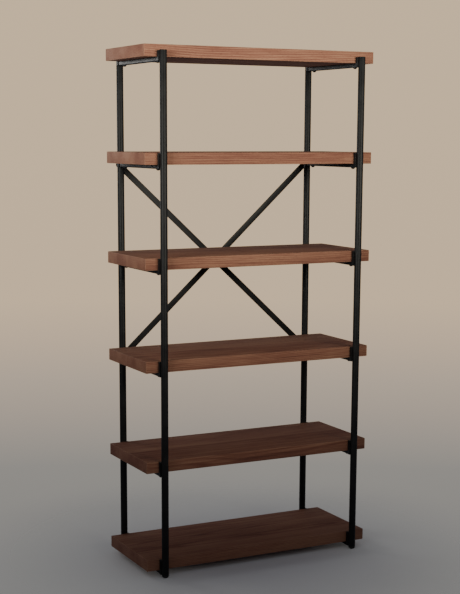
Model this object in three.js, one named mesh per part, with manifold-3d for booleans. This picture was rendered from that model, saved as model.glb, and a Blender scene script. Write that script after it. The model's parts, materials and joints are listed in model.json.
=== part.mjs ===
// Open bookcase: six thick wooden boards between four round steel posts.
// Left is -X, the front is -Y and up is +Z. All sizes are in millimetres.
//
// Every board lies on two cross rails and is held by two dome-headed bolts in each. A rail
// ends in saddles that hug the inner sides of the front and the rear post. The rails of the
// bottom and top boards are welded to the posts and make the frame, with a crossed brace on
// the backs of the rear posts. The four boards between them are adjustable: their saddles
// slide up and down on the posts.

import * as THREE from 'three';
import { mergeVertices } from 'three/addons/utils/BufferGeometryUtils.js';
import Module from 'manifold-3d';

// ---------------------------------------------------------------- driving dimensions

// Boards
const boardLength = 900;
const boardDepth = 340;
const boardThickness = 41;
const boardEase = 1.5; // small chamfer on every edge
const shelfCount = 6;
const shelfPitch = 356; // from one board to the next

// Posts, round tube
const postDiameter = 25;
const postWall = 2;
const postEndInset = 61; // post axis from the end of the board
const postStandOff = 6.5; // post surface from the long edge of the board
const postTopDrop = 19; // top of the post below the top of the highest board
const postTopPlate = 2.5; // welded plate that closes the tube
const postTopChamfer = 0.8;

// Clearances
const fitGap = 0.3; // between pieces that touch or fit together
const floorClearance = 4.4; // lowest bolt head above the floor

// Cross rails, rectangular tube
const railWidth = 25;
const railHeight = 13.5;
const railWall = 1.5;

// Saddles on the ends of the rails
const saddleCheek = 2.5; // saddle beyond the post on each side
const saddleSetback = 6; // ends of the cheeks in front of the post axis
const saddleTopDrop = 1.5; // saddle below the top of its board, or of the post

// Board bolts
const boltDiameter = 6;
const boltHeadDiameter = 14;
const boltHeadHeight = 5.5;
const boltEdgeDistance = 26; // bolt axis from the long edge of the board
const boltGrip = 22; // thread in the board
const boltHoleSpare = 2; // hole beyond the tip

// Feet
const footHeight = 10;
const footSoleRadius = 5;
const footRoundHeight = 8.5;
const footStemLength = 14;

// Cross brace on the backs of the rear posts
const braceLowShelf = 3; // shelves are counted from the floor
const braceHighShelf = 5;
const braceDrop = 7; // brace bolts below the underside of those two boards
const braceWidth = 22;
const braceThickness = 4;
const braceSeatThickness = 1.5; // thinnest wall of the hollow seat on the end of a bar
const braceSeatSize = 16;
const braceBoltDiameter = 6;
const braceHeadDiameter = 12;
const braceHeadHeight = 3.5;
const rivetHeadDiameter = 14;
const rivetHeadHeight = 3;
const weldNutDiameter = 12;
const weldNutDepth = 7; // from the axis of the bore of the post towards the back

// Facets
const postFacets = 24;
const smallFacets = 12;

// ---------------------------------------------------------------- derived places

const postRadius = postDiameter / 2;
const tubeBore = postRadius - postWall;
const postX = boardLength / 2 - postEndInset;
const postY = boardDepth / 2 + postStandOff + postRadius;
const boltY = boardDepth / 2 - boltEdgeDistance;

const railTop = -fitGap; // heights in a shelf are from the underside of its board
const railBottom = railTop - railHeight;
const boltHeadTop = railBottom - fitGap;

const lowestUnderside = floorClearance + boltHeadHeight - boltHeadTop;
const underside = (shelf) => lowestUnderside + (shelf - 1) * shelfPitch;
const postTop = underside(shelfCount) + boardThickness - postTopDrop;
const postBottom = footHeight + fitGap;

const braceFront = postRadius + braceSeatThickness + fitGap; // from the post axis, outwards
const braceLayer = braceThickness + fitGap;
const braceLow = underside(braceLowShelf) - braceDrop;
const braceHigh = underside(braceHighShelf) - braceDrop;
const braceMiddle = (braceLow + braceHigh) / 2;
const braceBack = braceFront + braceLayer + braceThickness;
const braceReach = braceBack + fitGap + Math.max(braceHeadHeight, rivetHeadHeight);
const braceBore = braceBoltDiameter / 2 + fitGap;

// The origin is under the middle of the object, and the brace makes the back deeper.
const depthShift = -(braceReach - postRadius) / 2;

// ---------------------------------------------------------------- materials

function finish(color, roughness, metalness) {
  return () => new THREE.MeshStandardMaterial({ color, roughness, metalness });
}

const walnut = finish(0x8b6049, 0.55, 0);
const blackSteel = finish(0x1d1d1f, 0.42, 0.6);
const blackZinc = finish(0x26262a, 0.38, 0.8);
const blackRubber = finish(0x141414, 0.8, 0);

// ---------------------------------------------------------------- solids

const wasm = await Module();
wasm.setup();

// A closed geometry with shared vertices and no triangle of zero area.
function weld(geometry) {
  const shell = geometry.clone();
  shell.deleteAttribute('normal');
  shell.deleteAttribute('uv');
  const merged = mergeVertices(shell, 1e-4);
  const source = merged.index.array;
  const kept = [];
  for (let i = 0; i < source.length; i += 3) {
    const [a, b, c] = [source[i], source[i + 1], source[i + 2]];
    if (a !== b && b !== c && c !== a) kept.push(a, b, c);
  }
  merged.setIndex(kept);
  return merged;
}

function toSolid(geometry) {
  const shell = weld(geometry);
  return new wasm.Manifold(new wasm.Mesh({
    numProp: 3,
    vertProperties: new Float32Array(shell.attributes.position.array),
    triVerts: new Uint32Array(shell.index.array),
  }));
}

function toGeometry(solid) {
  const mesh = solid.getMesh();
  const geometry = new THREE.BufferGeometry();
  geometry.setAttribute('position', new THREE.BufferAttribute(mesh.vertProperties, 3));
  geometry.setIndex(new THREE.BufferAttribute(mesh.triVerts, 1));
  return geometry;
}

// The first piece joined with the others of its list, and then cut by the tools.
function shaped(pieces, tools = []) {
  const joined = pieces.map(toSolid).reduce((whole, piece) => whole.add(piece));
  return toGeometry(tools.map(toSolid).reduce((left, tool) => left.subtract(tool), joined));
}

// A round bar along Z.
function bar(radius, z0, z1, facets = smallFacets) {
  return new THREE.CylinderGeometry(radius, radius, z1 - z0, facets)
    .rotateX(Math.PI / 2)
    .translate(0, 0, (z0 + z1) / 2);
}

// A round bar along Y.
function crossBar(radius, y0, y1, facets = smallFacets) {
  return bar(radius, y0, y1, facets).rotateX(-Math.PI / 2);
}

function block(x0, x1, y0, y1, z0, z1) {
  return new THREE.BoxGeometry(x1 - x0, y1 - y0, z1 - z0)
    .translate((x0 + x1) / 2, (y0 + y1) / 2, (z0 + z1) / 2);
}

// A turned piece about Z, from a profile of [radius, height] points that runs upwards.
function turned(profile, facets = smallFacets) {
  const points = profile.map(([radius, height]) => new THREE.Vector2(radius, height));
  return weld(new THREE.LatheGeometry(points, facets).rotateX(Math.PI / 2));
}

// Points on a quarter ellipse that leaves the axis at [0, z0] and meets [radius, z1] upright.
function dome(radius, z0, z1, steps = 3) {
  return Array.from({ length: steps + 1 }, (_, i) => {
    const angle = (i / steps) * (Math.PI / 2);
    return [radius * Math.sin(angle), z1 + (z0 - z1) * Math.cos(angle)];
  });
}

function extrude(shape, depth, curveSegments = smallFacets / 2) {
  return new THREE.ExtrudeGeometry(shape, { depth, bevelEnabled: false, curveSegments });
}

function circle(radius, x = 0) {
  return new THREE.Path().absarc(x, 0, radius, 0, 2 * Math.PI, false);
}

function rectangle(Outline, x0, x1, y0, y1) {
  return new Outline().moveTo(x0, y0).lineTo(x1, y0).lineTo(x1, y1).lineTo(x0, y1).closePath();
}

// ---------------------------------------------------------------- frame pieces

// A post stands on its own axis, with +Y pointing away from the boards.
function post(isRear) {
  const ring = new THREE.Shape().absarc(0, 0, postRadius, 0, 2 * Math.PI, false);
  ring.holes.push(circle(tubeBore));
  const plateBottom = postTop - postTopPlate;
  const tube = extrude(ring, plateBottom - postBottom, postFacets / 2);
  const plate = turned([
    [0, plateBottom],
    [postRadius, plateBottom],
    [postRadius, postTop - postTopChamfer],
    [postRadius - postTopChamfer, postTop],
    [0, postTop],
  ], postFacets);
  const pieces = [tube.translate(0, 0, postBottom), plate.rotateZ(Math.PI / 2)];
  const tools = [];
  if (isRear) {
    for (const height of [braceLow, braceHigh]) {
      const nut = crossBar(weldNutDiameter / 2, tubeBore - weldNutDepth, tubeBore + 0.5);
      pieces.push(nut.translate(0, 0, height));
      tools.push(crossBar(braceBore, 0, postDiameter).translate(0, 0, height));
    }
  }
  return shaped(pieces, tools);
}

// A round-bottomed plug with a small flat sole.
function foot() {
  const stem = tubeBore - fitGap;
  const round = dome(postRadius - footSoleRadius, 0, footRoundHeight, 4)
    .map(([radius, height]) => [footSoleRadius + radius, height]);
  return turned([
    [0, 0],
    ...round,
    [postRadius, footHeight],
    [stem, footHeight],
    [stem, footHeight + footStemLength],
    [0, footHeight + footStemLength],
  ], postFacets);
}

// ---------------------------------------------------------------- cross brace

const braceRun = 2 * postX;
const braceRise = braceHigh - braceLow;
const braceSpan = Math.hypot(braceRun, braceRise);
const braceSlope = Math.atan2(braceRise, braceRun);

// A flat bar with round ends and a welded seat on each, hollow to fit the post. The falling
// bar is layer 0, nearest to the posts, and the rising bar lies on it as layer 1.
function braceBar(layer, direction) {
  const radius = braceWidth / 2;
  const outline = new THREE.Shape()
    .absarc(braceSpan / 2, 0, radius, -Math.PI / 2, Math.PI / 2, false)
    .absarc(-braceSpan / 2, 0, radius, Math.PI / 2, 1.5 * Math.PI, false);
  const front = braceFront + layer * braceLayer;
  const flat = extrude(outline, braceThickness)
    .rotateX(Math.PI / 2)
    .translate(0, front + braceThickness, 0)
    .rotateY(-direction * braceSlope);
  const half = braceSeatSize / 2;
  const hollow = postRadius + fitGap;
  const seatEdge = Math.sqrt(hollow ** 2 - half ** 2) + 0.5;
  const pieces = [flat];
  const tools = [crossBar(braceBore, 0, 2 * braceReach)];
  for (const side of [-1, 1]) {
    const x = side * postX;
    const z = side * direction * (braceRise / 2);
    const seat = block(-half, half, seatEdge, front + 0.5, -half, half);
    pieces.push(seat.translate(x, 0, z));
    tools.push(bar(hollow, -braceWidth, braceWidth, postFacets).translate(x, 0, z));
    tools.push(crossBar(braceBore, 0, 2 * braceReach).translate(x, 0, z));
  }
  return shaped(pieces, tools);
}

// The bolt runs forwards from its head into the weld nut.
function braceBolt(layer) {
  const radius = braceBoltDiameter / 2;
  const seat = braceFront + layer * braceLayer + braceThickness + fitGap;
  return turned([
    [0, tubeBore - weldNutDepth],
    [radius, tubeBore - weldNutDepth],
    [radius, seat],
    ...dome(braceHeadDiameter / 2, seat + braceHeadHeight, seat).reverse(),
  ]).rotateX(-Math.PI / 2);
}

// The rivet where the bars cross, with a low head on each side.
function braceRivet() {
  const radius = braceBoltDiameter / 2;
  const head = rivetHeadDiameter / 2;
  const front = braceFront - fitGap;
  const back = braceBack + fitGap;
  return turned([
    ...dome(head, front - rivetHeadHeight, front),
    [radius, front],
    [radius, back],
    ...dome(head, back + rivetHeadHeight, back).reverse(),
  ]).rotateX(-Math.PI / 2);
}

// ---------------------------------------------------------------- shelf pieces

function board() {
  const half = boardLength / 2 - boardEase;
  const deep = boardDepth / 2 - boardEase;
  const slab = new THREE.ExtrudeGeometry(rectangle(THREE.Shape, -half, half, -deep, deep), {
    depth: boardThickness - 2 * boardEase,
    bevelThickness: boardEase,
    bevelSize: boardEase,
    bevelSegments: 1,
  }).translate(0, 0, boardEase);
  const holes = [];
  for (const x of [-postX, postX]) {
    for (const y of [-boltY, boltY]) {
      const hole = bar(boltDiameter / 2 + fitGap, -1, boltGrip + boltHoleSpare);
      holes.push(hole.translate(x, y, 0));
    }
  }
  return shaped([slab], holes);
}

// The saddle on the rear end of a rail: a block with a hollow for the post.
function saddle(top) {
  const half = postRadius + saddleCheek;
  const hollow = postRadius + fitGap;
  const reach = Math.asin(saddleSetback / hollow);
  const plan = new THREE.Shape()
    .moveTo(-half, -postRadius - postStandOff + fitGap)
    .lineTo(half, -postRadius - postStandOff + fitGap)
    .lineTo(half, -saddleSetback)
    .absarc(0, 0, hollow, -reach, Math.PI + reach, true)
    .lineTo(-half, -saddleSetback)
    .closePath();
  return extrude(plan, top - railBottom, 8).translate(0, postY, railBottom);
}

// A rail with a saddle on each end and the holes for its two board bolts.
function crossRail(saddleTop) {
  const width = railWidth / 2;
  const bore = width - railWall;
  const section = rectangle(THREE.Shape, -width, width, railBottom, railTop);
  section.holes.push(
    rectangle(THREE.Path, -bore, bore, railBottom + railWall, railTop - railWall),
  );
  const length = boardDepth + 2 * fitGap + 1;
  const tube = extrude(section, length).rotateX(Math.PI / 2).translate(0, length / 2, 0);
  const holes = [-boltY, boltY].map((y) => {
    const hole = bar(boltDiameter / 2 + fitGap, railBottom - 1, railTop + 1);
    return hole.translate(0, y, 0);
  });
  return shaped([tube, saddle(saddleTop), saddle(saddleTop).rotateZ(Math.PI)], holes);
}

function boardBolt() {
  const shank = boltDiameter / 2;
  return turned([
    ...dome(boltHeadDiameter / 2, boltHeadTop - boltHeadHeight, boltHeadTop),
    [shank, boltHeadTop],
    [shank, boltGrip],
    [0, boltGrip],
  ]);
}

// ---------------------------------------------------------------- assembly

const sides = [['left', -1], ['right', 1]];
const faces = [['front', -1], ['rear', 1]];

function addMesh(group, name, geometry, material, x = 0, y = 0, z = 0) {
  geometry.computeVertexNormals();
  const mesh = new THREE.Mesh(geometry, material());
  mesh.name = name;
  mesh.position.set(x, y, z);
  group.add(mesh);
  return mesh;
}

function makeShelf(number) {
  const group = new THREE.Group();
  group.position.z = underside(number);
  const postReach = postTop - underside(number);
  const saddleTop = Math.min(boardThickness, postReach) - saddleTopDrop;
  addMesh(group, `shelf_${number}_board`, board(), walnut);
  for (const [side, signX] of sides) {
    const x = signX * postX;
    addMesh(group, `shelf_${number}_rail_${side}`, crossRail(saddleTop), blackSteel, x);
    for (const [face, signY] of faces) {
      const name = `shelf_${number}_bolt_${face}_${side}`;
      addMesh(group, name, boardBolt(), blackZinc, x, signY * boltY);
    }
  }
  return group;
}

function makeCorner(side, signX, face, signY) {
  const group = new THREE.Group();
  group.position.set(signX * postX, signY * postY, 0);
  group.rotation.z = signY < 0 ? Math.PI : 0;
  addMesh(group, `post_${face}_${side}`, post(signY > 0), blackSteel);
  addMesh(group, `foot_${face}_${side}`, foot(), blackRubber);
  return group;
}

function makeBrace() {
  const group = new THREE.Group();
  group.position.set(0, postY, braceMiddle);
  addMesh(group, 'brace_bar_falling', braceBar(0, -1), blackSteel);
  addMesh(group, 'brace_bar_rising', braceBar(1, 1), blackSteel);
  addMesh(group, 'brace_rivet', braceRivet(), blackZinc);
  for (const [side, signX] of sides) {
    for (const [level, signZ] of [['low', -1], ['high', 1]]) {
      const layer = signX === signZ ? 1 : 0;
      const name = `brace_bolt_${level}_${side}`;
      addMesh(group, name, braceBolt(layer), blackZinc, signX * postX, 0, signZ * braceRise / 2);
    }
  }
  return group;
}

const bookcase = new THREE.Group();
const assembly = new THREE.Group();
assembly.position.y = depthShift;
bookcase.add(assembly);

for (const [side, signX] of sides) {
  for (const [face, signY] of faces) {
    assembly.add(makeCorner(side, signX, face, signY));
  }
}
for (let number = 1; number <= shelfCount; number += 1) {
  assembly.add(makeShelf(number));
}
assembly.add(makeBrace());

export default bookcase;
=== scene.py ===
"""The looks of an open bookcase: walnut boards on black steel rails, round posts and a brace.

Metres, +X to the right, -Y to the front, +Z up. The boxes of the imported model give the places.
The sizes that those boxes don't give are the named values below.
"""

import json
import math

import bmesh
import bpy
from mathutils import Matrix, Vector


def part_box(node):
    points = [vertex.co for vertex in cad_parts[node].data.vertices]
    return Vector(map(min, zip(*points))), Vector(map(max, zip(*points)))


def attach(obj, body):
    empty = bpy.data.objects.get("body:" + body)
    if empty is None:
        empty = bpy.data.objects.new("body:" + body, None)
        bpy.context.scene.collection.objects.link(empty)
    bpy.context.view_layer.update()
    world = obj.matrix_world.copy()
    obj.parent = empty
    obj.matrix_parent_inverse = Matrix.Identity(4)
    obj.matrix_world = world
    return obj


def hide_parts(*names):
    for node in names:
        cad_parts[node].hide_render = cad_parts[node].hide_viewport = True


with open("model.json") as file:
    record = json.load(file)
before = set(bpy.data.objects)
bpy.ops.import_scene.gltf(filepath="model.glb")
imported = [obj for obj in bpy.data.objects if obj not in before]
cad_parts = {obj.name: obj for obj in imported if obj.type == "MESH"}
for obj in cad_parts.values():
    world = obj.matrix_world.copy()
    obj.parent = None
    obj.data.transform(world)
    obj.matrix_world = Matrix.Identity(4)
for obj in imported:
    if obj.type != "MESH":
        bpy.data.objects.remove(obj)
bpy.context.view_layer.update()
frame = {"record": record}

# ---------------------------------------------------------------- sizes

MM = 0.001
SHELVES = range(1, 7)
FIXED_SHELVES = (1, 6)
SIDES = {"left": -1, "right": 1}
FACES = {"front": -1, "rear": 1}

GAP = 0.3 * MM
BOARD_EASE = 1.5 * MM
POST_WALL = 2 * MM
POST_PLATE = 2.5 * MM
POST_CHAMFER = 0.8 * MM
RAIL_WIDTH = 25 * MM
RAIL_WALL = 1.5 * MM
RAIL_HEIGHT = 13.5 * MM
RAIL_CORNER = 1.6 * MM
SADDLE_SETBACK = 6 * MM
SADDLE_EASE = 0.7 * MM
BOLT_RADIUS = 3 * MM
BOLT_HEAD = (7 * MM, 5.5 * MM)
BOLT_SOCKET = (2.3 * MM, 2.6 * MM)
BOLT_EDGE_DISTANCE = 26 * MM
BOLT_HOLE_DEPTH = 24 * MM
BOLT_SEGMENTS = 40
POST_SEGMENTS = 72
SET_SCREW_RADIUS = 2.5 * MM
SET_SCREW_SETBACK = 9.2 * MM
SET_SCREW_SOCKET = (1.3 * MM, 2.2 * MM)
SET_SCREW_SEGMENTS = 28
WELD_RADIUS = 1.3 * MM
WELD_RIPPLE = 1.1 * MM
WELD_PROUD = 0.3 * MM
BRACE_WIDTH = 22 * MM
BRACE_THICKNESS = 4 * MM
BRACE_SEAT = 16 * MM
BRACE_HEAD = (6 * MM, 3.5 * MM)
BRACE_SOCKET = (1.9 * MM, 1.8 * MM)
RIVET_HEAD = (7 * MM, 3 * MM)
FOOT_SOLE = 5 * MM
FOOT_ROUND = 8.5 * MM
FOOT_HEIGHT = 10 * MM
FOOT_RIB_DEPTH = 0.5 * MM
FOOT_RIB_PITCH = 2.6 * MM


def middle(node):
    low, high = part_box(node)
    return (low + high) / 2


def size(node):
    low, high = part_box(node)
    return high - low


board_size = size("shelf_1_board")
board_middle = middle("shelf_1_board")
post_radius = size("post_front_left").x / 2
hollow_radius = post_radius + GAP
post_x = middle("post_front_right").x
post_y = (middle("post_rear_left").y - middle("post_front_left").y) / 2
bolt_y = board_size.y / 2 - BOLT_EDGE_DISTANCE
saddle_half = size("shelf_1_rail_left").x / 2
saddle_inner = -(post_y - board_size.y / 2 - GAP)
brace_low = middle("brace_bolt_low_left").z
brace_high = middle("brace_bolt_high_left").z

# ---------------------------------------------------------------- mesh helpers

SHARP_ANGLE = math.radians(35)
BEVEL_ANGLE = math.radians(40)
DRILL_SEGMENTS = 32
DOME_STEPS = 10
CORNER_STEPS = 4


def to_object(name, bm):
    """A linked object that holds the bmesh, with its faces turned outwards."""
    bmesh.ops.recalc_face_normals(bm, faces=bm.faces)
    mesh = bpy.data.meshes.new(name)
    bm.to_mesh(mesh)
    bm.free()
    obj = bpy.data.objects.new(name, mesh)
    bpy.context.scene.collection.objects.link(obj)
    return obj


def smooth(obj):
    """Shades the object smoothly but for its sharp edges."""
    mesh = obj.data
    mesh.polygons.foreach_set("use_smooth", [True] * len(mesh.polygons))
    mesh.set_sharp_from_angle(angle=SHARP_ANGLE)
    return obj


def bake_modifiers(obj):
    """Puts what the modifiers make into the object's own mesh."""
    graph = bpy.context.evaluated_depsgraph_get()
    graph.update()
    made = bpy.data.meshes.new_from_object(obj.evaluated_get(graph))
    old = obj.data
    obj.modifiers.clear()
    obj.data = made
    bpy.data.meshes.remove(old)
    return obj


def soften(obj, width, segments):
    """Rounds the sharp edges of the object."""
    bevel = obj.modifiers.new("soft edges", "BEVEL")
    bevel.width = width
    bevel.segments = segments
    bevel.limit_method = "ANGLE"
    bevel.angle_limit = BEVEL_ANGLE
    bevel.use_clamp_overlap = True
    bevel.harden_normals = False
    return bake_modifiers(obj)


def drill(obj, cutters):
    """Cuts the cutters' shapes out of the object and removes the cutters."""
    for cutter in cutters:
        hole = obj.modifiers.new("hole", "BOOLEAN")
        hole.operation = "DIFFERENCE"
        hole.solver = "EXACT"
        hole.object = cutter
    bake_modifiers(obj)
    for cutter in cutters:
        bpy.data.objects.remove(cutter)
    return obj


def joined(name, parts):
    """One object with the meshes of the parts, which are removed."""
    bm = bmesh.new()
    for part in parts:
        mesh = part.data
        mesh.transform(part.matrix_basis)
        bm.from_mesh(mesh)
        bpy.data.objects.remove(part)
        bpy.data.meshes.remove(mesh)
    return to_object(name, bm)


def turned(bm, profile, segments, matrix=Matrix()):
    """A body turned about Z, from [radius, height] points that start and end on the axis."""
    turns = [2 * math.pi * i / segments for i in range(segments)]
    rings = []
    for radius, height in profile:
        if radius == 0:
            rings.append([bm.verts.new(matrix @ Vector((0, 0, height)))])
            continue
        points = [Vector((radius * math.cos(a), radius * math.sin(a), height)) for a in turns]
        rings.append([bm.verts.new(matrix @ point) for point in points])
    for low, high in zip(rings, rings[1:]):
        for i in range(segments):
            j = i + 1
            corners = [
                low[i % len(low)],
                low[j % len(low)],
                high[j % len(high)],
                high[i % len(high)],
            ]
            bm.faces.new(list(dict.fromkeys(corners)))


def extruded(bm, outline, low, high, matrix=Matrix()):
    """A prism along Z with the given outline."""
    bottom = [bm.verts.new(matrix @ Vector((x, y, low))) for x, y in outline]
    top = [bm.verts.new(matrix @ Vector((x, y, high))) for x, y in outline]
    bm.faces.new(bottom)
    bm.faces.new(top)
    for i in range(len(outline)):
        bm.faces.new((bottom[i - 1], bottom[i], top[i], top[i - 1]))


def extruded_ring(bm, outer, inner, low, high, matrix=Matrix()):
    """A tube along Z between two outlines that have the same number of points."""
    loops = []
    for outline in (outer, inner):
        for height in (low, high):
            points = [matrix @ Vector((x, y, height)) for x, y in outline]
            loops.append([bm.verts.new(point) for point in points])
    outer_low, outer_high, inner_low, inner_high = loops
    for a, b in (
        (outer_low, outer_high),
        (outer_high, inner_high),
        (inner_high, inner_low),
        (inner_low, outer_low),
    ):
        for i in range(len(outer)):
            bm.faces.new((a[i - 1], a[i], b[i], b[i - 1]))


def arc(radius, start, end, steps, centre=(0, 0)):
    """Points on an arc, in degrees, both ends included."""
    turns = [math.radians(start + (end - start) * i / steps) for i in range(steps + 1)]
    return [(centre[0] + radius * math.cos(a), centre[1] + radius * math.sin(a)) for a in turns]


def rounded_rectangle(half_x, half_y, radius):
    x, y = half_x - radius, half_y - radius
    corners = ((x, y, 0), (-x, y, 90), (-x, -y, 180), (x, -y, 270))
    return [
        point
        for cx, cy, start in corners
        for point in arc(radius, start, start + 90, CORNER_STEPS, (cx, cy))
    ]


def dome(radius, edge, crown):
    """Profile of a dome from its rim, at height edge, to its crown on the axis."""
    turns = [math.pi / 2 * i / DOME_STEPS for i in range(DOME_STEPS + 1)]
    points = [(radius * math.cos(a), edge + (crown - edge) * math.sin(a)) for a in turns]
    return points[:-1] + [(0, crown)]


def rod(radius, low, high, matrix=Matrix()):
    """A plain round cutter along Z."""
    bm = bmesh.new()
    turned(bm, [(0, low), (radius, low), (radius, high), (0, high)], DRILL_SEGMENTS, matrix)
    return to_object("cutter", bm)


def hexagon(radius, low, high):
    """A six-sided cutter along Z."""
    bm = bmesh.new()
    extruded(bm, arc(radius, 0, 300, 5), low, high)
    return to_object("cutter", bm)


def along(axis):
    """Turns +Z to the given axis."""
    return Vector((0, 0, 1)).rotation_difference(Vector(axis)).to_matrix().to_4x4()


def weld_bead(bm, start, end):
    """A straight weld between two points, with the ripples of its pool."""
    start, end = Vector(start), Vector(end)
    length = (end - start).length
    turn = along((end - start).normalized())
    rings = max(6, round(4 * length / WELD_RIPPLE))
    profile = [(0, 0)]
    for i in range(rings + 1):
        travel = length * i / rings
        fade = min(1, travel / WELD_RADIUS, (length - travel) / WELD_RADIUS)
        ripple = 1 + 0.1 * math.cos(2 * math.pi * travel / WELD_RIPPLE)
        profile.append((WELD_RADIUS * ripple * max(0.35, fade), travel))
    profile.append((0, length))
    turned(bm, profile, 12, Matrix.Translation(start) @ turn)


# ---------------------------------------------------------------- node helpers


def new_material(name):
    material = bpy.data.materials.new(name)
    material.use_nodes = True
    tree = material.node_tree
    return material, tree, tree.nodes["Principled BSDF"]


def add(tree, kind, inputs=None, **settings):
    """A new node. An input is a value, or the socket that feeds it."""
    node = tree.nodes.new(kind)
    for key, value in settings.items():
        setattr(node, key, value)
    for key, value in (inputs or {}).items():
        if isinstance(value, bpy.types.NodeSocket):
            tree.links.new(value, node.inputs[key])
        else:
            node.inputs[key].default_value = value
    return node


def maths(tree, operation, *values, clamp=False):
    """One Math node. A value is a number, or the socket that feeds it."""
    inputs = dict(enumerate(values))
    return add(tree, "ShaderNodeMath", inputs, operation=operation, use_clamp=clamp).outputs[0]


def ramped(tree, value, low, high, to_low=0.0, to_high=1.0):
    """The value moved from one range to another, smoothly and clamped."""
    inputs = {0: value, 1: low, 2: high, 3: to_low, 4: to_high}
    node = add(tree, "ShaderNodeMapRange", inputs, interpolation_type="SMOOTHSTEP")
    return node.outputs[0]


def ramped_line(tree, value, low, high):
    """The value moved from one range to 0 to 1, in a straight line and clamped."""
    inputs = {0: value, 1: low, 2: high, 3: 0.0, 4: 1.0}
    return add(tree, "ShaderNodeMapRange", inputs).outputs[0]


def stretched(tree, place, scale, offset):
    """The place scaled along each axis, and then shifted."""
    inputs = {"Vector": place, "Location": offset, "Scale": scale}
    return add(tree, "ShaderNodeMapping", inputs).outputs[0]


def noise(tree, place, scale=1.0, detail=3.0, roughness=0.5):
    inputs = {"Vector": place, "Scale": scale, "Detail": detail, "Roughness": roughness}
    return add(tree, "ShaderNodeTexNoise", inputs)


def mixed(tree, factor, first, second):
    """The first colour blended to the second by the factor."""
    inputs = {0: factor, 6: first, 7: second}
    return add(tree, "ShaderNodeMix", inputs, data_type="RGBA").outputs[2]


def bumped(tree, height, distance, strength):
    inputs = {"Height": height, "Distance": distance, "Strength": strength}
    return add(tree, "ShaderNodeBump", inputs).outputs[0]


def edge_closeness(tree, place, half):
    """How far a point on a box is from its nearest edge, in metres. The box is centred on 0."""
    split = add(tree, "ShaderNodeSeparateXYZ", {0: place})
    depths = [
        maths(tree, "SUBTRACT", half[i], maths(tree, "ABSOLUTE", split.outputs[i]))
        for i in range(3)
    ]
    pairs = [maths(tree, "ADD", depths[i], depths[j]) for i, j in ((0, 1), (1, 2), (0, 2))]
    return maths(tree, "MINIMUM", maths(tree, "MINIMUM", pairs[0], pairs[1]), pairs[2])


# ---------------------------------------------------------------- materials

STAVE_WIDTH = 85 * MM
RING_WIDTH = 5.2 * MM
WALNUT_LIGHT = (0.335, 0.166, 0.100, 1)
WALNUT_MID = (0.220, 0.089, 0.056, 1)
WALNUT_DARK = (0.095, 0.032, 0.025, 1)
# The edge colour below is partly rubbed wood and partly a painted highlight.
WALNUT_RUBBED_HIGHLIT = (0.42, 0.25, 0.16, 1)
COAT_COLOURS = ((0.010, 0.010, 0.0105, 1), (0.017, 0.017, 0.0175, 1))
DUST_COLOUR = (0.06, 0.058, 0.055, 1)
ZINC_COLOURS = ((0.022, 0.022, 0.025, 1), (0.05, 0.05, 0.055, 1))
RUBBER_COLOUR = (0.016, 0.016, 0.016, 1)
FLOOR_DUST_COLOUR = (0.1, 0.094, 0.085, 1)


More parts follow.
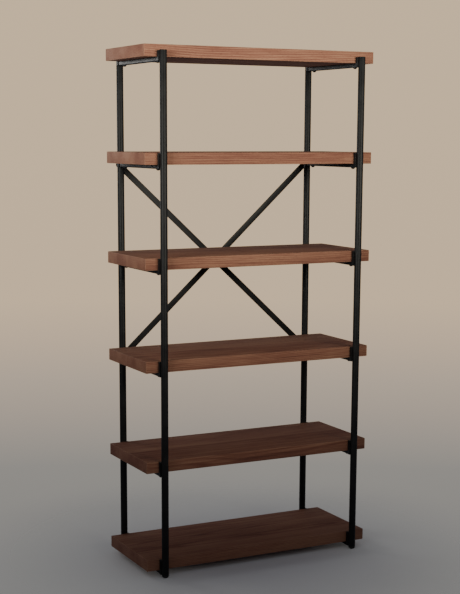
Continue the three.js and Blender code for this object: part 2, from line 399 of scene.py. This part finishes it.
def walnut(name, seed):
    """Solid walnut glued up from staves that run along X, with the rings of each stave's own log,
    fibres, open pores and lighter edges, which are partly rubbed and partly a painted highlight."""
    material, tree, shader = new_material(name)
    place = add(tree, "ShaderNodeTexCoord").outputs["Object"]
    shift = (seed * 3.71, seed * 1.37, seed * 2.93)
    split = add(tree, "ShaderNodeSeparateXYZ", {0: place})
    across, up = split.outputs[1], split.outputs[2]

    # staves
    counted = maths(tree, "DIVIDE", maths(tree, "ADD", across, 4 * STAVE_WIDTH), STAVE_WIDTH)
    stave = maths(tree, "FLOOR", counted)
    key = maths(tree, "ADD", maths(tree, "MULTIPLY", stave, 7.31), seed * 11.7)
    drawn = add(tree, "ShaderNodeTexWhiteNoise", {"W": key}, noise_dimensions="1D")
    tone = drawn.outputs["Value"]
    log = add(tree, "ShaderNodeSeparateXYZ", {0: drawn.outputs["Color"]})

    # rings about the log's own middle, which wanders along the board
    slow = stretched(tree, place, (1.3, 5.0, 5.0), shift)
    wander = add(tree, "ShaderNodeSeparateXYZ", {0: noise(tree, slow, 1, 2).outputs["Color"]})
    in_stave = maths(tree, "SUBTRACT", maths(tree, "FRACT", counted), log.outputs[0])
    side = maths(tree, "MULTIPLY", in_stave, STAVE_WIDTH)
    side = maths(tree, "ADD", side, maths(tree, "MULTIPLY", wander.outputs[0], 0.035))
    depth = maths(tree, "ADD", up, maths(tree, "MULTIPLY", log.outputs[1], 0.05))
    depth = maths(tree, "ADD", depth, maths(tree, "MULTIPLY", wander.outputs[1], 0.03))
    away = maths(
        tree,
        "SQRT",
        maths(tree, "ADD", maths(tree, "POWER", side, 2.0), maths(tree, "POWER", depth, 2.0)),
    )
    turns = maths(tree, "MULTIPLY", away, 2 * math.pi / RING_WIDTH)
    ring = maths(tree, "MULTIPLY_ADD", maths(tree, "SINE", turns), 0.5, 0.5)
    late_wood = maths(tree, "POWER", ring, 2.4)

    # fibres, pores and broad clouds of tone
    fibre = noise(tree, stretched(tree, place, (9, 520, 520), shift), 1, 4, 0.6).outputs[0]
    hair = noise(tree, stretched(tree, place, (30, 2200, 2200), shift), 1, 2).outputs[0]
    pore_field = noise(tree, stretched(tree, place, (95, 1500, 1500), shift), 1, 1).outputs[0]
    pore = ramped(tree, pore_field, 0.62, 0.72)
    cloud = noise(tree, stretched(tree, place, (2.2, 16, 16), shift), 1, 3).outputs[0]

    dark = maths(tree, "MULTIPLY", late_wood, 0.28)
    dark = maths(tree, "MULTIPLY_ADD", ramped(tree, fibre, 0.3, 0.72), 0.40, dark)
    dark = maths(tree, "MULTIPLY_ADD", ramped(tree, cloud, 0.3, 0.7), 0.24, dark)
    dark = maths(tree, "MULTIPLY_ADD", maths(tree, "SUBTRACT", tone, 0.5), 0.22, dark)
    dark = maths(tree, "MULTIPLY_ADD", maths(tree, "SUBTRACT", hair, 0.5), 0.18, dark)
    ramp = add(tree, "ShaderNodeValToRGB", {0: dark})
    stops = ramp.color_ramp.elements
    stops[0].position, stops[0].color = 0.12, WALNUT_LIGHT
    stops[1].position, stops[1].color = 1.0, WALNUT_DARK
    stops.new(0.52).color = WALNUT_MID
    colour = mixed(tree, maths(tree, "MULTIPLY", pore, 0.5), ramp.outputs[0], WALNUT_DARK)

    # lighter edges: partly rubbed wood, partly a painted highlight along the arris
    edge = edge_closeness(tree, place, board_size / 2)
    patchy = noise(tree, stretched(tree, place, (14, 60, 60), shift), 1, 3).outputs[0]
    reach = maths(tree, "MULTIPLY_ADD", patchy, 4.2 * MM, 0.2 * MM)
    worn_and_highlit = maths(tree, "SUBTRACT", 1.0, maths(tree, "DIVIDE", edge, reach), clamp=True)
    colour = mixed(tree, maths(tree, "MULTIPLY", worn_and_highlit, 0.4), colour, WALNUT_RUBBED_HIGHLIT)

    rough = ramped(tree, dark, 0.1, 0.9, 0.64, 0.8)
    rough = maths(tree, "MULTIPLY_ADD", worn_and_highlit, -0.08, rough)
    height = maths(tree, "MULTIPLY_ADD", pore, -1.0, maths(tree, "MULTIPLY", fibre, 0.5))
    height = maths(tree, "MULTIPLY_ADD", late_wood, 0.25, height)
    tree.links.new(colour, shader.inputs["Base Color"])
    tree.links.new(rough, shader.inputs["Roughness"])
    tree.links.new(bumped(tree, height, 0.25 * MM, 0.7), shader.inputs["Normal"])
    shader.inputs["Specular IOR Level"].default_value = 0.22
    return material


def powder_coat(name):
    """Satin black powder coat: fine orange peel, faint clouds and a little dust."""
    material, tree, shader = new_material(name)
    place = add(tree, "ShaderNodeTexCoord").outputs["Object"]
    cloud = noise(tree, place, 14, 4, 0.6).outputs[0]
    peel = noise(tree, place, 900, 2, 0.5).outputs[0]
    fleck = ramped(tree, noise(tree, place, 420, 2, 0.5).outputs[0], 0.68, 0.76)
    colour = mixed(tree, ramped(tree, cloud, 0.3, 0.7), *COAT_COLOURS)
    colour = mixed(tree, maths(tree, "MULTIPLY", fleck, 0.25), colour, DUST_COLOUR)
    tree.links.new(colour, shader.inputs["Base Color"])
    tree.links.new(ramped(tree, cloud, 0.25, 0.75, 0.36, 0.46), shader.inputs["Roughness"])
    tree.links.new(bumped(tree, peel, 0.06 * MM, 0.6), shader.inputs["Normal"])
    shader.inputs["Specular IOR Level"].default_value = 0.12
    return material


def black_zinc(name):
    """Blackened zinc on the bolts, with fine grit and faint clouds of tone."""
    material, tree, shader = new_material(name)
    place = add(tree, "ShaderNodeTexCoord").outputs["Object"]
    grit = noise(tree, place, 1500, 3, 0.6).outputs[0]
    cloud = noise(tree, place, 180, 3, 0.55).outputs[0]
    colour = mixed(tree, ramped(tree, cloud, 0.35, 0.7), *ZINC_COLOURS)
    tree.links.new(colour, shader.inputs["Base Color"])
    tree.links.new(ramped(tree, grit, 0.3, 0.7, 0.3, 0.44), shader.inputs["Roughness"])
    tree.links.new(bumped(tree, grit, 0.03 * MM, 0.5), shader.inputs["Normal"])
    shader.inputs["Metallic"].default_value = 0.85
    return material


def black_rubber(name):
    """Moulded black rubber, dusty towards the floor."""
    material, tree, shader = new_material(name)
    place = add(tree, "ShaderNodeTexCoord").outputs["Object"]
    height = add(tree, "ShaderNodeSeparateXYZ", {0: place}).outputs[2]
    grain = noise(tree, place, 1300, 2, 0.5).outputs[0]
    smear = noise(tree, place, 220, 3, 0.6).outputs[0]
    low = ramped(tree, height, 0.0, 6 * MM, 1.0, 0.0)
    dust = maths(tree, "MULTIPLY", low, ramped(tree, smear, 0.4, 0.75))
    colour = mixed(tree, maths(tree, "MULTIPLY", dust, 0.5), RUBBER_COLOUR, FLOOR_DUST_COLOUR)
    tree.links.new(colour, shader.inputs["Base Color"])
    tree.links.new(ramped(tree, smear, 0.3, 0.7, 0.62, 0.82), shader.inputs["Roughness"])
    tree.links.new(bumped(tree, grain, 0.08 * MM, 0.6), shader.inputs["Normal"])
    return material


steel = powder_coat("black_steel")
zinc = black_zinc("black_zinc")
rubber = black_rubber("black_rubber")


# ---------------------------------------------------------------- placing

body_of_node = {
    node: body
    for body, nodes in frame["record"]["behaviour"]["bodies"].items()
    for node in nodes
}


def place_piece(name, mesh, body, location, turn=0.0, replaces=None):
    """An object of the mesh that rides on a body, and may stand for a CAD node."""
    obj = bpy.data.objects.new(name, mesh)
    bpy.context.scene.collection.objects.link(obj)
    obj.location = location
    obj.rotation_euler = (0, 0, turn)
    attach(obj, body)
    if replaces:
        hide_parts(replaces)
    return obj


def stand_in(name, node, mesh, location, turn=0.0):
    """The finer piece that is shown for a CAD node."""
    return place_piece(name, mesh, body_of_node[node], location, turn, node)


def finished(obj, material):
    """The mesh of a work object, smooth and painted, ready for one or more pieces."""
    mesh = smooth(obj).data
    mesh.materials.clear()
    mesh.materials.append(material)
    bpy.data.objects.remove(obj)
    return mesh


# ---------------------------------------------------------------- boards


def board_mesh(number):
    """A board about its own middle, with rounded edges and blind holes for its bolts."""
    half = board_size / 2
    bm = bmesh.new()
    outline = ((-half.x, -half.y), (half.x, -half.y), (half.x, half.y), (-half.x, half.y))
    extruded(bm, outline, -half.z, half.z)
    slab = soften(to_object("board", bm), BOARD_EASE, 3)
    low, high = -half.z - MM, -half.z + BOLT_HOLE_DEPTH
    holes = [
        rod(BOLT_RADIUS + GAP, low, high, Matrix.Translation((x, y, 0)))
        for x in (-post_x, post_x)
        for y in (-bolt_y, bolt_y)
    ]
    return finished(drill(slab, holes), walnut(f"walnut_{number}", number))


def make_board(number):
    node = f"shelf_{number}_board"
    stand_in(f"board_{number}", node, board_mesh(number), middle(node))


# ---------------------------------------------------------------- rails and saddles


def saddle(height, is_adjustable):
    """The saddle on the rear end of a rail, about the post's axis, up from 0. Its hollow is
    towards +Y. The adjustable one has a hole for a set screw in its -X side."""
    reach = math.degrees(math.asin(SADDLE_SETBACK / hollow_radius))
    outline = [
        (-saddle_half, saddle_inner),
        (saddle_half, saddle_inner),
        (saddle_half, -SADDLE_SETBACK),
        *arc(hollow_radius, -reach, reach - 180, 24),
        (-saddle_half, -SADDLE_SETBACK),
    ]
    bm = bmesh.new()
    extruded(bm, outline, 0, height)
    block = soften(to_object("saddle", bm), SADDLE_EASE, 3)
    if is_adjustable:
        centre = Matrix.Translation((0, -SET_SCREW_SETBACK, RAIL_HEIGHT / 2))
        drill(block, [rod(SET_SCREW_RADIUS, -2 * saddle_half, 0, centre @ along((1, 0, 0)))])
    return block


def rail_tube():
    """The rectangular tube between the saddles, along Y and up from 0, with its bolt holes."""
    outer = rounded_rectangle(RAIL_WIDTH / 2, RAIL_HEIGHT / 2, RAIL_CORNER)
    inner = rounded_rectangle(
        RAIL_WIDTH / 2 - RAIL_WALL, RAIL_HEIGHT / 2 - RAIL_WALL, RAIL_CORNER / 2
    )
    end = post_y + saddle_inner
    lay = Matrix.Translation((0, 0, RAIL_HEIGHT / 2)) @ along((0, 1, 0))
    bm = bmesh.new()
    extruded_ring(bm, outer, inner, -end, end, lay)
    holes = [
        rod(BOLT_RADIUS + GAP, -MM, RAIL_HEIGHT + MM, Matrix.Translation((0, y, 0)))
        for y in (-bolt_y, bolt_y)
    ]
    return drill(to_object("tube", bm), holes)


def rail_welds(saddle_height, is_fixed):
    """Weld beads from the tube to its saddles and, on a fixed rail, from them to the posts."""
    bm = bmesh.new()
    end = post_y + saddle_inner
    tube_x = RAIL_WIDTH / 2 + WELD_PROUD
    tube_y = end - 0.2 * MM
    post_weld_x = hollow_radius - 0.9 * MM
    post_weld_y = post_y - SADDLE_SETBACK + WELD_PROUD
    for side in (-1, 1):
        for face in (-1, 1):
            corner = (side * tube_x, face * tube_y)
            weld_bead(bm, (*corner, MM), (*corner, RAIL_HEIGHT - MM))
            if is_fixed:
                corner = (side * post_weld_x, face * post_weld_y)
                weld_bead(bm, (*corner, MM), (*corner, saddle_height - MM))
    return to_object("welds", bm)


def rail_mesh(number):
    """A rail about the middle of its underside."""
    is_fixed = number in FIXED_SHELVES
    height = size(f"shelf_{number}_rail_left").z
    parts = [rail_tube(), rail_welds(height, is_fixed)]
    for face in (1, -1):
        end = saddle(height, not is_fixed)
        if face < 0:
            end.data.transform(Matrix.Diagonal((1, -1, 1, 1)))
            end.data.flip_normals()
        end.location = (0, face * post_y, 0)
        parts.append(end)
    return finished(joined("rail", parts), steel)


def make_rails(number, mesh):
    """The left and right rail of a shelf. The right one is turned round, so that its set
    screws are on the outside too."""
    for side, sign in SIDES.items():
        node = f"shelf_{number}_rail_{side}"
        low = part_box(node)[0].z
        place = (sign * post_x, board_middle.y, low)
        turn = 0 if sign < 0 else math.pi
        stand_in(f"rail_{number}_{side}", node, mesh, place, turn)


# ---------------------------------------------------------------- bolts and screws


def headed(radius, head, length, socket):
    """A bolt along Z with the seat of its dome head at 0, the head below and the shank above.
    The head is a radius and a height, and the socket is a radius and a depth."""
    head_radius, head_height = head
    rim = 0.6 * MM
    profile = list(reversed(dome(head_radius, -rim, -head_height)))
    profile += [(head_radius, -0.2 * rim), (head_radius - 0.2 * rim, 0)]
    profile += [(radius, 0), (radius, length - 0.6 * MM), (radius - 0.6 * MM, length), (0, length)]
    bm = bmesh.new()
    turned(bm, profile, BOLT_SEGMENTS)
    bolt = to_object("bolt", bm)
    across, deep = socket
    drill(bolt, [hexagon(across, -head_height - MM, -head_height + deep)])
    return finished(bolt, zinc)


def make_board_bolts(number, mesh):
    for side, sign_x in SIDES.items():
        for face, sign_y in FACES.items():
            node = f"shelf_{number}_bolt_{face}_{side}"
            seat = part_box(node)[0].z + BOLT_HEAD[1]
            place = (sign_x * post_x, board_middle.y + sign_y * bolt_y, seat)
            stand_in(f"bolt_{number}_{face}_{side}", node, mesh, place)


def set_screw_mesh():
    """A headless socket screw along X, from its outer end at 0 to the post."""
    length = saddle_half - math.sqrt(hollow_radius**2 - SET_SCREW_SETBACK**2) - 0.6 * MM
    radius = SET_SCREW_RADIUS - 0.1 * MM
    bm = bmesh.new()
    profile = [(0, 0), (radius - 0.3 * MM, 0), (radius, 0.3 * MM), (radius, length), (0, length)]
    turned(bm, profile, SET_SCREW_SEGMENTS)
    across, deep = SET_SCREW_SOCKET
    screw = drill(to_object("screw", bm), [hexagon(across, -MM, deep)])
    screw.data.transform(along((1, 0, 0)))
    return finished(screw, zinc)


def make_set_screws(number, mesh):
    """The screws that lock an adjustable shelf to its posts."""
    for side, sign_x in SIDES.items():
        for face, sign_y in FACES.items():
            node = f"shelf_{number}_rail_{side}"
            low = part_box(node)[0].z
            place = (
                sign_x * (post_x + saddle_half - 0.3 * MM),
                board_middle.y + sign_y * (post_y - SET_SCREW_SETBACK),
                low + RAIL_HEIGHT / 2,
            )
            turn = 0 if sign_x < 0 else math.pi
            name = f"set_screw_{number}_{face}_{side}"
            place_piece(name, mesh, body_of_node[node], place, turn)


# ---------------------------------------------------------------- posts and feet


def post_mesh(node):
    """A tube about its own axis, closed by a welded plate with a rounded rim."""
    low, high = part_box(node)
    plate = high.z - POST_PLATE
    bore = post_radius - POST_WALL
    burr = 0.3 * MM
    rim = arc(POST_CHAMFER, 0, 90, 4, (post_radius - POST_CHAMFER, high.z - POST_CHAMFER))
    bm = bmesh.new()
    turned(
        bm,
        [
            (0, plate),
            (bore, plate),
            (bore, low.z + burr),
            (bore + burr, low.z),
            (post_radius - burr, low.z),
            (post_radius, low.z + burr),
            (post_radius, plate - 0.4 * MM),
            (post_radius - 0.15 * MM, plate),
            (post_radius, plate + 0.4 * MM),
            *rim,
            (0, high.z),
        ],
        POST_SEGMENTS,
    )
    post = to_object("post", bm)
    if "rear" in node:
        places = [Matrix.Translation((0, 0, height)) for height in (brace_low, brace_high)]
        back = along((0, 1, 0))
        drill(post, [rod(BOLT_RADIUS + GAP, 0, 2 * post_radius, at @ back) for at in places])
    return finished(post, steel)


def foot_mesh(node):
    """A moulded foot with a rounded edge, a small flat sole and a ribbed stem in the tube."""
    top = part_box(node)[1].z
    bore = post_radius - POST_WALL - GAP
    sole = arc(1, -90, 0, 12)
    curve = [(FOOT_SOLE + (post_radius - FOOT_SOLE) * x, FOOT_ROUND * (1 + y)) for x, y in sole]
    core = bore - FOOT_RIB_DEPTH
    ribs = []
    height = FOOT_HEIGHT + 2.5 * MM
    while height < top - 2.5 * MM:
        ribs += [(core, height), (bore, height + 0.4 * MM)]
        ribs += [(bore, height + 1.0 * MM), (core, height + 1.4 * MM)]
        height += FOOT_RIB_PITCH
    bm = bmesh.new()
    turned(
        bm,
        [
            (0, 0),
            *curve,
            (post_radius, FOOT_HEIGHT - 0.3 * MM),
            (post_radius - 0.3 * MM, FOOT_HEIGHT),
            (core, FOOT_HEIGHT),
            *ribs,
            (bore - 1.2 * MM, top),
            (0, top),
        ],
        POST_SEGMENTS,
    )
    return finished(to_object("foot", bm), rubber)


def make_corner(side, face):
    post, foot = f"post_{face}_{side}", f"foot_{face}_{side}"
    axis = middle(post)
    place = (axis.x, axis.y, 0)
    stand_in(f"{face}_{side}_post", post, post_mesh(post), place)
    stand_in(f"{face}_{side}_foot", foot, foot_mesh(foot), place)


# ---------------------------------------------------------------- brace


def brace_seat(flat_front):
    """The hollow seat between a rear post and a brace bar, about the post's axis."""
    half = BRACE_SEAT / 2
    edge = math.sqrt(hollow_radius**2 - half**2) + 0.5 * MM
    reach = math.degrees(math.acos(edge / hollow_radius))
    outline = [
        (half, edge),
        (half, flat_front),
        (-half, flat_front),
        (-half, edge),
        *arc(hollow_radius, 90 + reach, 90 - reach, 16),
    ]
    bm = bmesh.new()
    extruded(bm, outline, -half, half)
    return soften(to_object("seat", bm), 0.5 * MM, 2)


def brace_bar(name, node, direction):
    """A flat bar with round ends, drilled for its bolts and the rivet, and its two seats, which
    are left solid."""
    rear_axis = middle("post_rear_left").y
    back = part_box(node)[1].y - rear_axis
    front = back - BRACE_THICKNESS
    rise = brace_high - brace_low
    span = math.hypot(2 * post_x, rise)
    slope = math.atan2(rise, 2 * post_x)
    radius = BRACE_WIDTH / 2
    outline = arc(radius, -90, 90, 24, (span / 2, 0)) + arc(radius, 90, 270, 24, (-span / 2, 0))
    bm = bmesh.new()
    lay = Matrix.Rotation(-direction * slope, 4, "Y") @ Matrix.Rotation(math.pi / 2, 4, "X")
    extruded(bm, outline, -back, -front, lay)
    bar = soften(to_object("bar", bm), 0.6 * MM, 3)
    places = [Vector((end * post_x, 0, end * direction * rise / 2)) for end in (-1, 0, 1)]
    lines = [Matrix.Translation(place) @ along((0, 1, 0)) for place in places]
    parts = [drill(bar, [rod(BOLT_RADIUS + GAP, 0, 2 * back, line) for line in lines])]
    for place in (places[0], places[-1]):
        seat = brace_seat(front)
        seat.location = place
        parts.append(seat)
    mesh = finished(joined("bar", parts), steel)
    place = (0, rear_axis, (brace_low + brace_high) / 2)
    stand_in(name, node, mesh, place)


def make_brace():
    brace_bar("falling_brace", "brace_bar_falling", -1)
    brace_bar("rising_brace", "brace_bar_rising", 1)

    for side, sign in SIDES.items():
        for level in ("low", "high"):
            node = f"brace_bolt_{level}_{side}"
            low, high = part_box(node)
            seat = high.y - BRACE_HEAD[1]
            mesh = headed(BOLT_RADIUS, BRACE_HEAD, seat - low.y, BRACE_SOCKET)
            mesh.transform(along((0, -1, 0)))
            place = (sign * post_x, seat, middle(node).z)
            stand_in(f"brace_{level}_{side}_bolt", node, mesh, place)

    low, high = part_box("brace_rivet")
    head_radius, head_height = RIVET_HEAD
    back = dome(head_radius, high.y - head_height, high.y)
    front = reversed(dome(head_radius, low.y + head_height, low.y))
    shank = [(BOLT_RADIUS, low.y + head_height), (BOLT_RADIUS, high.y - head_height)]
    bm = bmesh.new()
    turned(bm, [*front, *shank, *back], BOLT_SEGMENTS, along((0, 1, 0)))
    mesh = finished(to_object("rivet", bm), zinc)
    place = (0, 0, middle("brace_rivet").z)
    stand_in("brace_centre_rivet", "brace_rivet", mesh, place)


# ---------------------------------------------------------------- the bookcase

bolt_length = size("shelf_1_bolt_front_left").z - BOLT_HEAD[1]
bolt = headed(BOLT_RADIUS, BOLT_HEAD, bolt_length, BOLT_SOCKET)
set_screw = set_screw_mesh()
middle_rail = rail_mesh(2)
rails = {1: rail_mesh(1), 6: rail_mesh(6)}

for side in SIDES:
    for face in FACES:
        make_corner(side, face)
for number in SHELVES:
    make_board(number)
    make_rails(number, rails.get(number, middle_rail))
    make_board_bolts(number, bolt)
    if number not in FIXED_SHELVES:
        make_set_screws(number, set_screw)
make_brace()

# ---------------------------------------------------------------- camera, floor and light

CAMERA_PLACE = (-2.257, -4.348, 1.541)
CAMERA_YAW = 27.07
CAMERA_PITCH = 10.13
CAMERA_ROLL = 0.25
CAMERA_LENS = 81.0
CAMERA_SHIFT = 0.133

FLOOR_SIZE = 24
FLOOR_COLOUR = (0.86, 0.88, 0.90, 1)
FLOOR_FADE = (0.2, 1.2)
BACKDROP = (
    (0.0, (0.215, 0.217, 0.213, 1)),
    (0.25, (0.295, 0.28, 0.258, 1)),
    (0.38, (0.51, 0.42, 0.335, 1)),
    (0.5, (0.75, 0.565, 0.38, 1)),
    (1.0, (0.79, 0.60, 0.39, 1)),
)
ROOM_COLOUR = (0.136, 0.137, 0.150, 1)
BACKDROP_HEIGHTS = (-0.36, 0.12)
BACK_COLOUR = (1.0, 0.98, 0.95)
FRONT_BOX = (1.6, 0.7)


def make_camera():
    data = bpy.data.cameras.new("camera")
    data.sensor_width = 36
    data.lens = CAMERA_LENS
    data.shift_y = CAMERA_SHIFT
    camera = bpy.data.objects.new("camera", data)
    bpy.context.scene.collection.objects.link(camera)
    camera.location = CAMERA_PLACE
    heading = Matrix.Rotation(math.radians(-CAMERA_YAW), 4, "Z")
    tilt = Matrix.Rotation(math.radians(90 - CAMERA_PITCH), 4, "X")
    roll = Matrix.Rotation(math.radians(CAMERA_ROLL), 4, "Z")
    camera.rotation_euler = (heading @ tilt @ roll).to_euler()
    bpy.context.scene.camera = camera


def make_floor():
    """A pale floor that fades into the backdrop round the bookcase."""
    half = FLOOR_SIZE / 2
    bm = bmesh.new()
    square = ((-half, -half), (half, -half), (half, half), (-half, half))
    bm.faces.new([bm.verts.new((x, y, 0)) for x, y in square])
    floor = to_object("floor", bm)
    material, tree, shader = new_material("pale_floor")
    place = add(tree, "ShaderNodeTexCoord").outputs["Object"]
    away = add(tree, "ShaderNodeVectorMath", {0: place}, operation="LENGTH").outputs["Value"]
    shader.inputs["Base Color"].default_value = FLOOR_COLOUR
    shader.inputs["Roughness"].default_value = 0.9
    shader.inputs["Specular IOR Level"].default_value = 0.1
    clear = add(tree, "ShaderNodeBsdfTransparent").outputs[0]
    fade = ramped(tree, away, *FLOOR_FADE)
    output = tree.nodes["Material Output"]
    both = add(tree, "ShaderNodeMixShader", {0: fade, 1: shader.outputs[0], 2: clear})
    tree.links.new(both.outputs[0], output.inputs["Surface"])
    floor.data.materials.append(material)


def soft_light(name, azimuth, distance, height, aim_height, box, power, colour, spread):
    """A soft box, of a width and a height, that the camera doesn't see. Azimuth 0 is in front,
    and positive is to the right. A narrow spread leaves the lower shelves darker."""
    data = bpy.data.lights.new(name, "AREA")
    data.shape = "RECTANGLE"
    data.size, data.size_y = box
    data.energy = power
    data.color = colour
    data.spread = math.radians(spread)
    light = bpy.data.objects.new(name, data)
    light.visible_camera = False
    bpy.context.scene.collection.objects.link(light)
    turn = math.radians(azimuth)
    light.location = (distance * math.sin(turn), -distance * math.cos(turn), height)
    aim = Vector((0, 0, aim_height)) - light.location
    light.rotation_euler = aim.to_track_quat("-Z", "Y").to_euler()
    return light


def make_world():
    """A dim room, seen as a backdrop that is bright above and cooler and darker below. The
    backdrop's stops are places between the two heights of its gradient."""
    world = bpy.data.worlds.new("studio")
    world.use_nodes = True
    bpy.context.scene.world = world
    tree = world.node_tree
    background = tree.nodes["Background"]
    way = add(tree, "ShaderNodeTexCoord").outputs["Generated"]
    height = add(tree, "ShaderNodeSeparateXYZ", {0: way}).outputs[2]
    ramp = add(tree, "ShaderNodeValToRGB", {0: ramped_line(tree, height, *BACKDROP_HEIGHTS)})
    stops = ramp.color_ramp.elements
    stops[0].position, stops[0].color = BACKDROP[0]
    stops[1].position, stops[1].color = BACKDROP[-1]
    for position, colour in BACKDROP[1:-1]:
        stops.new(position).color = colour
    seen = add(tree, "ShaderNodeLightPath").outputs["Is Camera Ray"]
    colour = mixed(tree, seen, ROOM_COLOUR, ramp.outputs[0])
    tree.links.new(colour, background.inputs["Color"])
    background.inputs["Strength"].default_value = 1.0


make_camera()
make_floor()
soft_light(
    "key", azimuth=14, distance=3.2, height=1.9, aim_height=2.0,
    box=FRONT_BOX, power=15.5, colour=(1.0, 0.95, 0.80), spread=63,
)
soft_light(
    "fill", azimuth=-62, distance=3.2, height=1.9, aim_height=2.0,
    box=FRONT_BOX, power=13.0, colour=(1.0, 1.0, 0.90), spread=63,
)
soft_light(
    "rim", azimuth=-150, distance=3.2, height=2.0, aim_height=1.9,
    box=(0.9, 1.0), power=4.5, colour=BACK_COLOUR, spread=80,
)
back = soft_light(
    "back", azimuth=172, distance=3.4, height=0.9, aim_height=1.1,
    box=(2.4, 1.2), power=18, colour=BACK_COLOUR, spread=180,
)
# A mirrored back light would lay a sheen over the tops of the boards.
back.visible_glossy = False
make_world()
